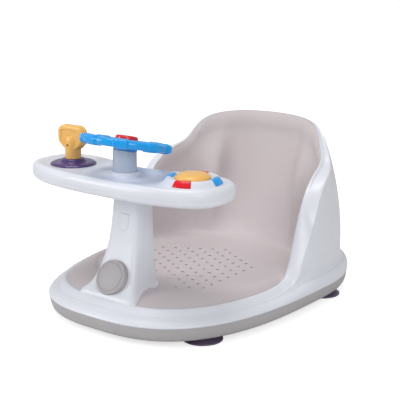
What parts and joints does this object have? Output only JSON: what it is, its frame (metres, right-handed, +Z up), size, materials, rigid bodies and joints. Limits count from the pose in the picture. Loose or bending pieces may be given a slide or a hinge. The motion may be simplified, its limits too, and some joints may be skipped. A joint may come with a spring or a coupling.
{
  "type": "baby bath seat",
  "caption": "Baby bath seat: moulded shell with a drained liner on a suction-cup base, and a lift-off toy tray with a steering wheel, a turning key and push buttons.",
  "frame": {"origin": "on the floor, under the middle of the base's length and width", "axes": "+Z up; -Y to the front, where the post stands; +X to the child's left, which is the side of the dome button"},
  "size_m": [0.3416, 0.4496, 0.2576],
  "materials": {
    "white_plastic": "satin moulded",
    "liner": "soft matt moulded",
    "base": "matt moulded",
    "cup": "smooth, slightly clear",
    "steel": "plated",
    "grey_plastic": "satin moulded",
    "blue_plastic": "glossy moulded",
    "red_plastic": "glossy moulded",
    "yellow_plastic": "satin moulded",
    "purple_plastic": "satin moulded"
  },
  "bodies": {
    "seat": {"base_tray": "base", "seat_shell": "white_plastic", "seat_liner": "liner", "suction_cup_front_right": "cup", "suction_cup_front_left": "cup", "suction_cup_back_right": "cup", "suction_cup_back_left": "cup", "base_screw_1": "steel", "base_screw_2": "steel", "base_screw_3": "steel", "base_screw_4": "steel", "post_cap": "base"},
    "release": {"release_button": "white_plastic"},
    "tray": {"tray_stem": "white_plastic", "tray_lower": "white_plastic", "tray_upper": "white_plastic", "tray_screw_front_right": "steel", "tray_screw_front_left": "steel", "tray_screw_back_right": "steel", "tray_screw_back_left": "steel", "stem_screw_right": "steel", "stem_screw_left": "steel", "ring_block_front": "red_plastic", "ring_block_right": "blue_plastic", "ring_block_back": "red_plastic", "ring_block_left": "blue_plastic", "wheel_column": "grey_plastic", "wheel_axle": "steel", "key_ring": "purple_plastic", "dome_spring": "steel"},
    "wheel": {"steering_wheel": "blue_plastic"},
    "horn": {"horn_button": "red_plastic"},
    "key": {"key": "yellow_plastic", "key_washer": "white_plastic", "key_screw": "steel"},
    "dome": {"dome_button": "yellow_plastic"}
  },
  "joints": [
    {"name": "tray_lift", "type": "slide", "parent": "seat", "child": "tray", "axis": [0, 0, 1], "range_m": [0, 0.06]},
    {"name": "release_press", "type": "slide", "parent": "seat", "child": "release", "axis": [0, 0.9863, -0.165], "range_m": [0, 0.003], "stiffness_N_per_m": 300, "springref_m": -0.003},
    {"name": "wheel_turn", "type": "hinge", "parent": "tray", "child": "wheel", "pos_m": [0, -0.155, 0.24], "axis": [0, 0.225, 0.9744], "continuous": true},
    {"name": "horn_press", "type": "slide", "parent": "wheel", "child": "horn", "axis": [0, -0.225, -0.9744], "range_m": [0, 0.003], "stiffness_N_per_m": 250, "springref_m": -0.003},
    {"name": "key_turn", "type": "hinge", "parent": "tray", "child": "key", "pos_m": [-0.1012, -0.1475, 0.22], "axis": [0, 0, 1], "range_deg": [-45, 45]},
    {"name": "dome_press", "type": "slide", "parent": "tray", "child": "dome", "axis": [0, 0, -1], "range_m": [0, 0.004], "stiffness_N_per_m": 300, "springref_m": -0.004, "deforming": ["dome_spring"]}
  ]
}
